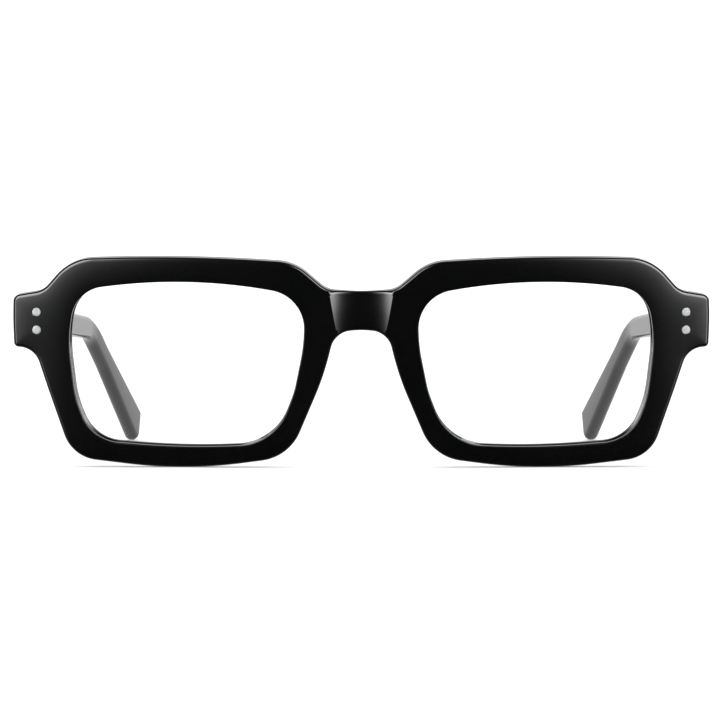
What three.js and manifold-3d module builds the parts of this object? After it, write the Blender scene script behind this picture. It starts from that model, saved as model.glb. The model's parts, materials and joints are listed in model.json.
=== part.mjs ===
// An eyeglasses frame with a glossy acetate front, standing open on a table.
//
// Millimetres, +Z up. +X is the wearer's left, the front faces -Y and the temples run to +Y.
// The front is drawn flat in plate coordinates (u across, v up, w back), then bent to its base
// curve and tilted. Everything on the wearer's left is built once, and mirrored for the right.
import * as THREE from "three";
import { mergeVertices } from "three/addons/utils/BufferGeometryUtils.js";
import { TessellateModifier } from "three/addons/modifiers/TessellateModifier.js";
import Module from "manifold-3d";

const wasm = await Module();
wasm.setup();

// ---------------------------------------------------------------- driving dimensions
const PLATE = 4; // thickness of the acetate front
const BASE_CURVE = 480; // radius that the front is bent to
const FRONT_TILT = 8; // degrees that the top of the front leans forward
const FRONT_EDGE = 0.7; // polished edge radius of the front
const CHORD_ERROR = 0.05; // how far a faceted arc may stray from the true one
const FACET = 12; // longest facet edge of a sheet that is bent
const FACET_PASSES = 8; // halvings that are allowed to get there
const EDGE_STEPS = 2; // facets round a polished edge
const BEYOND = 30; // how far a cutting tool runs on past what it cuts

// Corners of the outlines: [u, v, corner radius].
// Half of the rim, from the top of the bridge round the end piece to the bridge's underside.
const RIM_HALF = [
  [0, 36.3, 40],
  [7, 36.8, 5.2],
  [13.7, 42.5, 10.4],
  [35.9, 43.5, 73],
  [59.7, 42.8, 10.4],
  [65.6, 36.1, 5],
  [71.7, 35, 1.4],
  [71.9, 30.5, 70],
  [71.7, 24.4, 1],
  [67.4, 24.1, 4.4],
  [64.7, 15.8, 45],
  [59.6, 1.6, 7.7],
  [36.2, -0.8, 98],
  [14.8, 2.2, 10],
  [7.7, 19, 59],
  [5.4, 28.1, 4.3],
  [0, 28.5, 25],
];
// The lens opening, anticlockwise from the nose side of its top.
const OPENING = [
  [11.5, 35.6, 7.9],
  [11.7, 25.2, 33.8],
  [13.8, 15.6, 21.6],
  [18, 4.7, 11.7],
  [36, 4, 80],
  [55.7, 5, 8.5],
  [59.3, 13.9, 21.8],
  [60.6, 26.2, 31],
  [58.8, 36.3, 7.5],
  [34.9, 39.5, 108],
];

// The scoop milled across the front of the bridge.
const SCOOP = { radius: 14, topDepth: 1.6, topV: 36.3, underDepth: 0.96, underV: 28.5, sides: 64 };

// Lens edge and groove: how far each stands into the acetate, and how wide it is.
const LENS = { reach: 0.6, back: 0.35, bevel: 0.7, flat: 0.3 };
const GROOVE = { reach: 0.95, back: 0.1, bevel: 0.9, flat: 0.3 };

// The hinge: a five-knuckle barrel hinge, sunk and riveted. Its own frame has its origin on
// the barrel axis at mid height, x outward along the front, y back and z up the plate.
const HINGE = {
  u: 66.2,
  v: 29.9,
  w: 6,
  barrel: 1.5,
  bore: 0.8,
  knuckle: 1.4,
  knuckleGap: 0.1,
  plate: 0.8,
  plateGap: 0.1,
  plateInboard: 2.2, // from the barrel axis to the front plate's two ends
  plateOutboard: 3.2,
  frontWeb: 1.3, // half the width of what joins a knuckle to its plate
  templeWeb: 1.1,
  rivetU: 66.8,
  rivetSpacing: 3.7,
};
// The temple's leaf lies in its inner face, and reaches from the butt end past the rivets.
const LEAF = { start: -1.2, end: 8.2, rivetY: 5.2, rivetSpacing: 4.7 };
const RIVET = { radius: 0.92, gap: 0.1 };
const SCREW = {
  shank: 0.7,
  head: 1.25,
  headHeight: 0.7,
  crown: 0.94, // radius of the flat on top of the head
  chamfer: 0.28, // height of the slope round it
  seat: 0.1,
  slot: 0.35,
  tail: 0.5,
};

// The temple: a flat slab with a bent tip. Its own frame has its origin on the barrel axis,
// y along the temple, z up and x outward.
const TEMPLE = {
  thickness: 3.3,
  inner: 1.7, // inner face, outward from the barrel axis
  edge: 1.2,
  toeIn: 4.2, // degrees that the open temple converges
  drop: 10.35, // degrees that it falls away from square to the front
  buttGap: 0.15, // between the butt end and the end piece
  earBend: 90, // where the tip turns down and inward
  tipLength: 54,
  tipDrop: 24.6, // degrees
  tipIn: 5.6, // degrees
  tipInLead: 6, // the inward turn starts this far before the ear bend
  tipInRadius: 100,
};
// The core wire and its channel: radii, where the wire starts, how far short of the tip they
// end, and the run of their bend on each side of the ear bend.
const CORE = { wire: 0.6, channel: 0.85, start: 8, spare: 10, bend: 9, sides: 8, steps: 24 };

// The glued nose pads.
const PAD = { u: 9.6, v: 19.6, lean: 15.5, width: 4, height: 14, rise: 4.4, splay: 20 };

const ACETATE = new THREE.MeshStandardMaterial({ color: 0x0b0c0c, roughness: 0.12, metalness: 0 });
const STEEL = new THREE.MeshStandardMaterial({ color: 0xc9cbcc, roughness: 0.3, metalness: 1 });
const CLEAR = new THREE.MeshStandardMaterial({
  color: 0xf4f8f7,
  roughness: 0.03,
  metalness: 0,
  transparent: true,
  opacity: 0.2,
});

const radians = THREE.MathUtils.degToRad;

// ---------------------------------------------------------------- outlines
const mirrored = (corners) => corners.map(([u, v, r]) => [-u, v, r]);

// The points of a closed outline given by corners with radii: straight runs and tangent arcs.
function rounded(corners) {
  const points = [];
  corners.forEach(([x, y, radius], i) => {
    const corner = new THREE.Vector2(x, y);
    const before = new THREE.Vector2(...corners.at(i - 1)).sub(corner).normalize();
    const after = new THREE.Vector2(...corners[(i + 1) % corners.length]).sub(corner).normalize();
    const half = Math.acos(THREE.MathUtils.clamp(before.dot(after), -1, 1)) / 2;
    const centre = before.clone().add(after).setLength(radius / Math.sin(half)).add(corner);
    const start = before.multiplyScalar(radius / Math.tan(half)).add(corner).sub(centre);
    const end = after.multiplyScalar(radius / Math.tan(half)).add(corner).sub(centre);
    const turn = Math.atan2(start.cross(end), start.dot(end));
    const step = 2 * Math.acos(1 - CHORD_ERROR / radius);
    const count = Math.max(1, Math.ceil(Math.abs(turn) / step));
    for (let k = 0; k <= count; k++) {
      points.push(start.clone().rotateAround(new THREE.Vector2(), (turn * k) / count).add(centre));
    }
  });
  return points;
}

// ---------------------------------------------------------------- solids
// Only the positions of a geometry, with shared corners joined.
function bare(geometry) {
  const plain = geometry.clone();
  plain.deleteAttribute("normal");
  plain.deleteAttribute("uv");
  return mergeVertices(plain, 1e-4);
}

function solid(geometry) {
  const { attributes, index } = bare(geometry);
  return new wasm.Manifold(
    new wasm.Mesh({
      numProp: 3,
      vertProperties: attributes.position.array,
      triVerts: new Uint32Array(index.array),
    }),
  );
}

function geometryOf(manifold) {
  const { vertProperties, triVerts } = manifold.getMesh();
  const geometry = new THREE.BufferGeometry();
  geometry.setAttribute("position", new THREE.BufferAttribute(vertProperties, 3));
  geometry.setIndex(new THREE.BufferAttribute(triVerts, 1));
  geometry.computeVertexNormals();
  return geometry;
}

const join = (geometries) => geometries.map(solid).reduce((all, next) => all.add(next));
const cut = (body, tools) => tools.reduce((rest, tool) => rest.subtract(solid(tool)), body);
const finer = (geometry) => new TessellateModifier(FACET, FACET_PASSES).modify(geometry);

// A flat sheet from z = 0 to the thickness, with rounded edges.
function sheet(outline, holes, thickness, edge) {
  const shape = new THREE.Shape(outline);
  shape.holes = holes.map((hole) => new THREE.Path(hole));
  return new THREE.ExtrudeGeometry(shape, {
    depth: thickness - 2 * edge,
    bevelThickness: edge,
    bevelSize: edge,
    bevelOffset: -edge,
    bevelSegments: EDGE_STEPS,
  }).translate(0, 0, edge);
}

// A box given by its lowest and highest corners.
function block([x0, y0, z0], [x1, y1, z1]) {
  const box = new THREE.BoxGeometry(x1 - x0, y1 - y0, z1 - z0);
  return box.translate((x0 + x1) / 2, (y0 + y1) / 2, (z0 + z1) / 2);
}

// A cylinder along +Y from y0 to y1, or along +Z when it is stood up.
function rod(radius, y0, y1, sides = 18) {
  return new THREE.CylinderGeometry(radius, radius, y1 - y0, sides).translate(0, (y0 + y1) / 2, 0);
}
const upright = (radius, z0, z1, sides) => rod(radius, z0, z1, sides).rotateX(Math.PI / 2);

// ---------------------------------------------------------------- bending
function moved(geometry, place) {
  const position = geometry.getAttribute("position");
  const point = new THREE.Vector3();
  for (let i = 0; i < position.count; i++) {
    point.fromBufferAttribute(position, i);
    place(point);
    position.setXYZ(i, point.x, point.y, point.z);
  }
  geometry.computeVertexNormals();
  return geometry;
}

// Wraps plate coordinates (x = u, y = v, z = w) round the base curve, and stands them up.
function onBaseCurve(point) {
  const { x: u, y: v, z: w } = point;
  const angle = u / BASE_CURVE;
  const radius = BASE_CURVE - w;
  return point.set(radius * Math.sin(angle), BASE_CURVE - radius * Math.cos(angle), v);
}

// Turns every face round, after a change that mirrors the shape.
function turnedRound(geometry) {
  const index = geometry.getIndex();
  for (let i = 0; i < index.count; i += 3) {
    const second = index.getX(i + 1);
    index.setX(i + 1, index.getX(i + 2));
    index.setX(i + 2, second);
  }
  return geometry;
}

const wrapped = (geometry) => turnedRound(moved(geometry, onBaseCurve));
const mirrorImage = (geometry) => turnedRound(bare(geometry).scale(-1, 1, 1));

// Turns the tip of a straight temple inward: an arc past the ear bend, then straight on.
function turnTipIn(point) {
  const start = TEMPLE.earBend - TEMPLE.tipInLead;
  const most = radians(TEMPLE.tipIn);
  const past = point.y - start;
  if (past <= 0) return point;
  const centre = TEMPLE.inner - TEMPLE.tipInRadius;
  const angle = Math.min(past / TEMPLE.tipInRadius, most);
  const straight = past - angle * TEMPLE.tipInRadius;
  const radius = point.x - centre;
  point.x = centre + radius * Math.cos(angle) - straight * Math.sin(angle);
  point.y = start + radius * Math.sin(angle) + straight * Math.cos(angle);
  return point;
}

// ---------------------------------------------------------------- the front
const rimOutline = rounded([...RIM_HALF, ...mirrored(RIM_HALF.slice(1, -1)).reverse()]);
const openings = [rounded(OPENING), rounded(mirrored(OPENING).reverse())];

// A lens-shaped sheet whose edge rises to a ridge at mid thickness of the plate.
function lensBlank(outline, { reach, back, bevel, flat }) {
  const blank = new THREE.ExtrudeGeometry(new THREE.Shape(outline), {
    depth: flat,
    bevelThickness: bevel,
    bevelSize: reach + back,
    bevelOffset: -back,
    bevelSegments: 1,
  });
  return blank.translate(0, 0, (PLATE - flat) / 2);
}

// The large cylinder that the bridge's scoop follows. It leans, so the scoop is deeper on top.
function scoopTool() {
  const { radius, topDepth, topV, underDepth, underV, sides } = SCOOP;
  const lean = Math.atan2(topDepth - underDepth, topV - underV);
  const middle = new THREE.Vector3(0, (topV + underV) / 2, (topDepth + underDepth) / 2 - radius);
  const length = topV - underV;
  return rod(radius, -length, length, sides).rotateX(lean).translate(...middle);
}

// The pocket for the hinge plate and the two rivet holes, in plate coordinates.
function endPieceTools() {
  const { u, v, rivetU, plate, plateGap, plateInboard, plateOutboard } = HINGE;
  const half = knuckleSpan / 2 + plateGap;
  const inboard = u - plateInboard - plateGap;
  const outboard = u + plateOutboard + plateGap;
  const floor = PLATE - plate - plateGap;
  const pocket = block([inboard, v - half, floor], [outboard, v + half, BEYOND]);
  const holes = rivetHeights.map((height) =>
    upright(RIVET.radius + RIVET.gap, -BEYOND, BEYOND).translate(rivetU, v + height, 0),
  );
  return [pocket, ...holes];
}

function front() {
  const flat = finer(sheet(rimOutline, openings, PLATE, FRONT_EDGE));
  const tools = openings.map((outline) => lensBlank(outline, GROOVE));
  tools.push(scoopTool());
  for (const tool of endPieceTools()) tools.push(tool, mirrorImage(tool));
  return wrapped(geometryOf(cut(solid(flat), tools)));
}

function lens() {
  return wrapped(geometryOf(solid(finer(lensBlank(openings[0], LENS)))));
}

// A domed pad on the back of the rim: half an egg that splays outward as it stands back.
function nosePad() {
  const { u, v, lean, width, height, rise, splay } = PAD;
  const egg = new THREE.SphereGeometry(1, 20, 14).scale(width / 2, height / 2, rise);
  const behind = block([-height, -height, 0], [height, height, height]);
  const pad = geometryOf(solid(egg).intersect(solid(behind)));
  const slope = Math.tan(radians(splay));
  moved(pad, (point) => point.setX(point.x + point.z * slope));
  pad.rotateZ(radians(lean)).translate(u, v, PLATE + HINGE.plateGap);
  return wrapped(pad);
}

// ---------------------------------------------------------------- the hinge
const knuckleCount = 5;
const knuckleSpan = knuckleCount * HINGE.knuckle + (knuckleCount - 1) * HINGE.knuckleGap;
const frontFace = -HINGE.w; // y of the front's outer face in the hinge frame
const backFace = PLATE - HINGE.w; // y of the end piece's back face

// The low ends of every second knuckle. The front has the first, third and fifth, the temple
// the second and fourth.
function knuckleHeights(first) {
  const heights = [];
  for (let i = first; i < knuckleCount; i += 2) {
    heights.push(i * (HINGE.knuckle + HINGE.knuckleGap) - knuckleSpan / 2);
  }
  return heights;
}

const rivetHeights = [-HINGE.rivetSpacing / 2, HINGE.rivetSpacing / 2];
const leafRivetHeights = [-LEAF.rivetSpacing / 2, LEAF.rivetSpacing / 2];

function hingeHalf(plate, webs, holes) {
  const bore = upright(HINGE.bore, -knuckleSpan, knuckleSpan);
  return geometryOf(cut(join([plate, ...webs]), [bore, ...holes]));
}

function frontHinge() {
  const { barrel, knuckle, plate, plateInboard, plateOutboard, frontWeb, rivetU, u } = HINGE;
  const half = knuckleSpan / 2;
  const leaf = block([-plateInboard, backFace - plate, -half], [plateOutboard, backFace, half]);
  const webs = knuckleHeights(0).flatMap((low) => [
    upright(barrel, low, low + knuckle),
    block([-frontWeb, backFace - plate / 2, low], [frontWeb, 0, low + knuckle]),
  ]);
  const holes = rivetHeights.map((height) =>
    rod(RIVET.radius + RIVET.gap, frontFace, 0).translate(rivetU - u, 0, height),
  );
  return hingeHalf(leaf, webs, holes);
}

function frontRivet(height) {
  const shank = rod(RIVET.radius, frontFace, backFace);
  return shank.translate(HINGE.rivetU - HINGE.u, 0, height);
}

// Rivet holes through the temple and its leaf, in the hinge's frame.
const leafRivetHoles = () =>
  leafRivetHeights.map((height) =>
    rod(RIVET.radius + RIVET.gap, -BEYOND, BEYOND)
      .rotateZ(Math.PI / 2)
      .translate(0, LEAF.rivetY, height),
  );

function templeHinge() {
  const { barrel, knuckle, plate, templeWeb } = HINGE;
  const half = knuckleSpan / 2;
  const { inner } = TEMPLE;
  const leaf = block([inner, LEAF.start, -half], [inner + plate, LEAF.end, half]);
  const webs = knuckleHeights(1).flatMap((low) => [
    upright(barrel, low, low + knuckle),
    block([0, -templeWeb, low], [inner + plate / 2, templeWeb, low + knuckle]),
  ]);
  return hingeHalf(leaf, webs, leafRivetHoles());
}

function templeRivet(height) {
  const shank = rod(RIVET.radius, -TEMPLE.thickness / 2, TEMPLE.thickness / 2);
  shank.rotateZ(Math.PI / 2);
  return shank.translate(TEMPLE.inner + TEMPLE.thickness / 2, LEAF.rivetY, height);
}

// The hinge screw: its head rests over the top knuckle and its tail shows below the last.
function screw() {
  const top = knuckleSpan / 2 + SCREW.seat;
  const bottom = -knuckleSpan / 2 - SCREW.tail;
  const { shank, head, headHeight, crown, chamfer, slot } = SCREW;
  const tip = top + headHeight;
  const profile = [
    [0, bottom],
    [shank, bottom],
    [shank, top],
    [head, top],
    [head, tip - chamfer],
    [crown, tip],
    [0, tip],
  ].map(([r, z]) => new THREE.Vector2(r, z));
  const turned = new THREE.LatheGeometry(profile, 20).rotateX(Math.PI / 2);
  const driver = block([-BEYOND, -slot / 2, tip - slot], [BEYOND, slot / 2, BEYOND]);
  return geometryOf(cut(solid(turned), [driver]));
}

// ---------------------------------------------------------------- the temple
// The temple's side view, [along, up, corner radius], from the butt end round the tip.
function templeOutline() {
  const { earBend, tipLength, tipDrop } = TEMPLE;
  const drop = radians(tipDrop);
  const onTip = (along, up) => [
    earBend + along * Math.cos(drop) + up * Math.sin(drop),
    -along * Math.sin(drop) + up * Math.cos(drop),
  ];
  return rounded([
    [-5, -5.3, 1.3],
    [12, -4.8, 60],
    [58, -2.6, 120],
    [earBend - 1, -2.5, 12],
    [...onTip(16, -2.6), 60],
    [...onTip(tipLength, -4.1), 2.4],
    [...onTip(tipLength - 1, 4.2), 1.4],
    [...onTip(14, 2.6), 60],
    [earBend + 1, 2.5, 20],
    [58, 2.6, 120],
    [12, 4.5, 60],
    [-5, 4.9, 1.3],
  ]);
}

// The centre line of the core wire, in the straight temple.
function corePath(start) {
  const drop = radians(TEMPLE.tipDrop);
  const length = TEMPLE.tipLength - CORE.spare;
  const { earBend } = TEMPLE;
  const { bend } = CORE;
  const middle = TEMPLE.inner + TEMPLE.thickness / 2;
  const at = (y, z) => new THREE.Vector3(middle, y, z);
  const path = new THREE.CurvePath();
  const elbow = at(earBend, 0);
  const enter = at(earBend - bend, 0);
  const leave = at(earBend + bend * Math.cos(drop), -bend * Math.sin(drop));
  const end = at(earBend + length * Math.cos(drop), -length * Math.sin(drop));
  path.add(new THREE.LineCurve3(at(start, 0), enter));
  path.add(new THREE.QuadraticBezierCurve3(enter, elbow, leave));
  path.add(new THREE.LineCurve3(leave, end));
  return path;
}

function alongCore(radius, start) {
  const circle = new THREE.EllipseCurve(0, 0, radius, radius).getPoints(CORE.sides).slice(0, -1);
  return new THREE.ExtrudeGeometry(new THREE.Shape(circle), {
    steps: CORE.steps,
    extrudePath: corePath(start),
    bevelEnabled: false,
  });
}

// The half space in front of the end piece's back face, seen from the temple's frame.
function buttTrim() {
  const face = backFace + TEMPLE.buttGap;
  const space = block([-BEYOND, face - BEYOND, -BEYOND], [BEYOND, face, BEYOND]);
  return space.rotateZ(-toeInAtHinge).rotateX(radians(TEMPLE.drop));
}

// The pocket for the temple's hinge leaf and its rivet holes, seen from the temple's frame.
function leafTools() {
  const { plate, plateGap } = HINGE;
  const half = knuckleSpan / 2 + plateGap;
  const deep = TEMPLE.inner + plate + plateGap;
  const pocket = block([-BEYOND, -BEYOND, -half], [deep, LEAF.end + plateGap, half]);
  return [pocket, ...leafRivetHoles()].map((tool) => tool.rotateX(radians(TEMPLE.drop)));
}

function temple() {
  const slab = sheet(templeOutline(), [], TEMPLE.thickness, TEMPLE.edge);
  slab.rotateX(Math.PI / 2).rotateZ(Math.PI / 2).translate(TEMPLE.inner, 0, 0);
  const channel = alongCore(CORE.channel, -CORE.bend);
  const body = cut(solid(finer(slab)), [channel, ...leafTools(), buttTrim()]);
  return moved(geometryOf(body), turnTipIn);
}

function coreWire() {
  return moved(geometryOf(solid(alongCore(CORE.wire, CORE.start))), turnTipIn);
}

// ---------------------------------------------------------------- assembly
function part(name, geometry, material) {
  const mesh = new THREE.Mesh(geometry, material);
  mesh.name = name;
  return mesh;
}

const hingeTurn = HINGE.u / BASE_CURVE; // the front's own turn at the hinge
const toeInAtHinge = radians(TEMPLE.toeIn) - hingeTurn;

// The temple with its half of the hinge.
function templeGroup(side) {
  const group = new THREE.Group();
  group.rotation.z = toeInAtHinge;
  group.add(part(side + "_temple_hinge", templeHinge(), STEEL));
  group.add(part(side + "_temple_rivet_lower", templeRivet(leafRivetHeights[0]), STEEL));
  group.add(part(side + "_temple_rivet_upper", templeRivet(leafRivetHeights[1]), STEEL));
  const slab = new THREE.Group();
  slab.rotation.x = -radians(TEMPLE.drop);
  slab.add(part(side + "_temple", temple(), ACETATE));
  slab.add(part(side + "_core_wire", coreWire(), STEEL));
  group.add(slab);
  return group;
}

// The hinge on the end piece, and the temple that it carries.
function hingeGroup(side) {
  const group = new THREE.Group();
  group.name = side + "_hinge_frame";
  group.position.copy(onBaseCurve(new THREE.Vector3(HINGE.u, HINGE.v, HINGE.w)));
  group.rotation.z = hingeTurn;
  group.add(part(side + "_front_hinge", frontHinge(), STEEL));
  group.add(part(side + "_front_rivet_lower", frontRivet(rivetHeights[0]), STEEL));
  group.add(part(side + "_front_rivet_upper", frontRivet(rivetHeights[1]), STEEL));
  group.add(part(side + "_hinge_screw", screw(), STEEL));
  group.add(templeGroup(side));
  return group;
}

function sideGroup(side) {
  const group = new THREE.Group();
  group.add(part(side + "_lens", lens(), CLEAR));
  group.add(part(side + "_nose_pad", nosePad(), ACETATE));
  group.add(hingeGroup(side));
  return group;
}

const glasses = new THREE.Group();
glasses.rotation.x = radians(FRONT_TILT);
glasses.add(part("front", front(), ACETATE));
const left = sideGroup("left");
const right = sideGroup("right");
right.scale.x = -1;
glasses.add(left, right);

// The origin is the middle of the base, on the table that the rims and tips stand on.
const model = new THREE.Group();
model.add(glasses);
const extent = new THREE.Box3().setFromObject(model, true);
model.position.y = -(extent.min.y + extent.max.y) / 2;
model.position.z = -extent.min.z;

export default model;
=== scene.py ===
import json
import math

import bmesh
import bpy
import numpy as np
from mathutils import Matrix, Vector
from mathutils.geometry import delaunay_2d_cdt
from mathutils.kdtree import KDTree


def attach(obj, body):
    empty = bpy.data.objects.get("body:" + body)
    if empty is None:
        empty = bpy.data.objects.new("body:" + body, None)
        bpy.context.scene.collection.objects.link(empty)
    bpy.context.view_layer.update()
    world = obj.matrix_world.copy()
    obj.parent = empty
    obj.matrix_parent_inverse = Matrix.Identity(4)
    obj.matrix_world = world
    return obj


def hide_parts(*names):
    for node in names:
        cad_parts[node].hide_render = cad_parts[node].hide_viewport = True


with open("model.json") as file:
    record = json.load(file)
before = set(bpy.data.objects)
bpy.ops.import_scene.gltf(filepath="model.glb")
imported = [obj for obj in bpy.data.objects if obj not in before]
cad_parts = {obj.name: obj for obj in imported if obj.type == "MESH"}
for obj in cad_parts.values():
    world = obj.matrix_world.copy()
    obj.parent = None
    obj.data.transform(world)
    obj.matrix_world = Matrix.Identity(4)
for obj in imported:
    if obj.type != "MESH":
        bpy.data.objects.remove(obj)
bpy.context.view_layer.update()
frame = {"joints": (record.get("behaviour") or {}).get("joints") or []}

# A polished black acetate eyeglasses frame.
#
# Shapes are drawn in millimetres in the frames that the parts are made in, and placed from the
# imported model's hinge joints. Plate coordinates are u across, v up and w back, on the flat
# acetate sheet. The left side is built once, and its mirror image is the right side. Angles in
# the tables below are in degrees, and the studio's places are in metres.
MM = 0.001

# ---------------------------------------------------------------- driving dimensions
PLATE = 4.0  # thickness of the front
BASE_CURVE = 480.0  # radius that the front is bent to
FRONT_EDGE = 0.7  # edge radius round the front
OPENING_EDGE = 0.25  # edge radius round the openings
FRONT_CROWN = (0.13, 1.8)  # how far the polished face falls towards an edge, how softly
BACK_CROWN = (0.05, 1.2)

# Corners of the outlines: [u, v, corner radius].
RIM_HALF = [
    [0, 36.3, 40],
    [7, 36.8, 5.2],
    [13.7, 42.5, 10.4],
    [35.9, 43.8, 330],
    [59.7, 42.8, 10.4],
    [65.6, 36.1, 5],
    [71.7, 35, 1.4],
    [71.9, 30.5, 70],
    [71.7, 24.4, 1],
    [67.4, 24.1, 4.4],
    [64.7, 15.8, 45],
    [59.8, 1.6, 7.7],
    [36.2, -0.8, 98],
    [14.8, 2.2, 10],
    [7.7, 19, 59],
    [5.4, 28.1, 4.3],
    [0, 28.5, 25],
]
OPENING = [
    [11.5, 35.6, 7.9],
    [11.85, 25.2, 33.8],
    [13.8, 15.6, 21.6],
    [18, 4.9, 11.7],
    [36, 4, 180],
    [55.4, 5.2, 8.5],
    [58.95, 13.9, 21.8],
    [60.35, 26.2, 31],
    [58.65, 36.4, 7.5],
    [34.9, 39.6, 108],
]
# The bridge's hollow: its radius across, and its depth at the bridge's top and underside.
SCOOP = {"radius": 14, "top_depth": 1.6, "top_v": 36.3, "under_depth": 0.96, "under_v": 28.5}
# The lens groove: its depth, and half its width at the mouth and at the bottom.
GROOVE = {"reach": 0.95, "mouth": 0.964, "flat": 0.15}
# The lens, from the opening's outline: how far its bevel reaches out and its faces stay back;
# then half its thickness and half its bevel's flat, and how far its middle bulges forward.
LENS = {"reach": 0.6, "back": 0.35, "half": 0.85, "flat": 0.15, "bulge": 0.8}
LENS_MIDDLE = (36.2, 19.7)
LENS_HALF = (26.5, 19.5)

# u, v and w place the barrel's axis; barrel and bore are radii, knuckle is a height.
HINGE = {"u": 66.2, "v": 29.9, "w": 6, "barrel": 1.5, "bore": 0.74, "knuckle": 1.4, "gap": 0.1}
LEAF = {"thick": 0.8, "clear": 0.08, "corner": 0.5, "chamfer": 0.1}
FRONT_LEAF = (-2.2, 3.2)  # across, from the barrel axis
TEMPLE_LEAF = (-1.2, 8.2)  # along the temple
# A knuckle's section: how nearly its corners make a circle, half the width of its foot on each
# leaf, the foot's corner radius, and the radius of the edges at its ends.
KNUCKLE = {"round": 0.98, "front_foot": 1.3, "temple_foot": 1.1, "corner": 0.05, "edge": 0.1}
POCKET = {"spare": 3, "edge": 0.02, "mouth": -6}  # the tools that cut room for the leaves
FRONT_RIVET = {"x": 0.6, "spacing": 3.7}
TEMPLE_RIVET = {"y": 5.2, "spacing": 4.7}
RIVET = {"radius": 0.88, "clear": 0.06, "dome": 0.02, "chamfer": 0.07, "mouth": 0.07}
LEAF_CLEAR = 0.02  # between a rivet and its hole in a leaf
SCREW = {"shank": 0.7, "head": 1.25, "height": 0.7, "seat": 0.1, "slot": 0.36, "tail": 0.5}

# inner is from the hinge's axis to the temple's inner face, and gap is from butt to end piece.
TEMPLE = {"thick": 3.3, "inner": 1.7, "edge": 1.35, "toe_in": 4.2, "drop": 10.35, "gap": 0.15}
TEMPLE_CROWN = (0.1, 1.3)
# Past the ear bend: how far along it is, the tip's length and drop, and its turn inward, which
# starts lead before the bend on an arc of this radius.
TIP = {"bend": 90.0, "length": 54.0, "drop": 24.6, "turn": 5.6, "lead": 6.0, "radius": 100.0}
# The wire's radius, where it starts, how far short of the tip it stops, how far its bend
# reaches, and what share of the radius its ends have.
CORE = {"wire": 0.6, "start": 8.0, "spare": 10.0, "bend": 9.0, "end": 0.7}
PAD = {"u": 10.15, "v": 19.6, "lean": 15.5, "width": 4, "height": 14, "rise": 4.4, "splay": 20}
PAD_FOOT = {"sunk": 0.25, "flare": 0.1, "fade": 0.35}  # where a pad is glued to the rim

# The lit screen that the front reflects.
SCREEN = {"distance": 0.15, "half_width": 0.26, "low": -0.3, "high": 0.45}
# Its glow is exp(side * across + up * height + start), with the height counted up to rise. It
# levels off at white, and at white + top above the fade.
GLOW = {"side": 60.0, "up": 70.0, "rise": 0.02, "start": -6.75, "white": 8.0, "top": 6.0}
GLOW_FADE = (0.02, 0.08)
WORLD = {"plain": 1.5, "least": 0.08, "table": 0.85}
CAMERA = {"distance": 0.9, "height": 0.042, "aim": 0.021, "lens": 219.65}
CAMERA_SHIFT = (-0.0018, 0.0072)
FLOOR_HALF = 6.0

SPACING = 0.4  # between points of an outline
BRIDGE_SPACING = 0.16
LEAST_PER_RADIAN = 8.0  # points of a corner
GRID = 0.62  # between points of a face
BRIDGE_OUTLINE = {"half": 8.5, "low": 24}  # where outlines have closer points
BRIDGE_FACE = {"half": 8, "low": 25, "high": 38.5}  # where the face has closer points
CREASE_SPAN = (26, 39)  # heights between which the scoop's creases are drawn
CREASE_CLEAR = 0.06  # how far inside the face they stop
SHARP = math.radians(19)  # a steeper fold than this is an edge
LIP = 0.04  # a narrow strip beside a rounded edge, which keeps the shading of flats flat

KNUCKLES = 5
HALF_SPAN = (KNUCKLES * HINGE["knuckle"] + (KNUCKLES - 1) * HINGE["gap"]) / 2
FRONT_FACE_Y = -HINGE["w"]  # the front's faces, seen from the barrel axis
BACK_FACE_Y = PLATE - HINGE["w"]

# ---------------------------------------------------------------- placing
JOINTS = {joint["name"]: joint for joint in frame["joints"]}
AXIS = JOINTS["left_temple_fold"]["axis"]
PIVOT = Vector(JOINTS["left_temple_fold"]["pos_m"])
TILT = Matrix.Rotation(math.atan2(-AXIS[1], AXIS[2]), 4, "X")
HINGE_TURN = HINGE["u"] / BASE_CURVE


def on_base_curve(points):
    """Plate coordinates wrapped round the base curve and stood up."""
    u, v, w = points.T
    radius = BASE_CURVE - w
    x = radius * np.sin(u / BASE_CURVE)
    y = BASE_CURVE - radius * np.cos(u / BASE_CURVE)
    return np.column_stack((x, y, v))


def placed(points, matrix):
    """Points in millimetres, turned and moved into the row frame in metres."""
    m = np.array(matrix)
    return points @ (m[:3, :3].T * MM) + m[:3, 3]


def plate_matrix():
    """From the stood-up plate to the row frame: the left pivot sits at its plate position."""
    corner = on_base_curve(np.array([[HINGE["u"], HINGE["v"], HINGE["w"]]]))[0]
    offset = PIVOT - (TILT @ Vector(corner)) * MM
    return Matrix.Translation(offset) @ TILT


PLATE_TO_ROW = plate_matrix()
FRONT_HINGE_TO_ROW = Matrix.Translation(PIVOT) @ TILT @ Matrix.Rotation(HINGE_TURN, 4, "Z")
TOE_IN = Matrix.Rotation(math.radians(TEMPLE["toe_in"]), 4, "Z")
TEMPLE_HINGE_TO_ROW = Matrix.Translation(PIVOT) @ TILT @ TOE_IN
DROP = math.radians(TEMPLE["drop"])
TEMPLE_TO_ROW = TEMPLE_HINGE_TO_ROW @ Matrix.Rotation(-DROP, 4, "X")


def from_plate(points):
    return placed(on_base_curve(points), PLATE_TO_ROW)


def from_front_hinge(points):
    return placed(points, FRONT_HINGE_TO_ROW)


def from_temple_hinge(points):
    return placed(points, TEMPLE_HINGE_TO_ROW)


def from_temple(points):
    return placed(turned_in(points), TEMPLE_TO_ROW)


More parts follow.
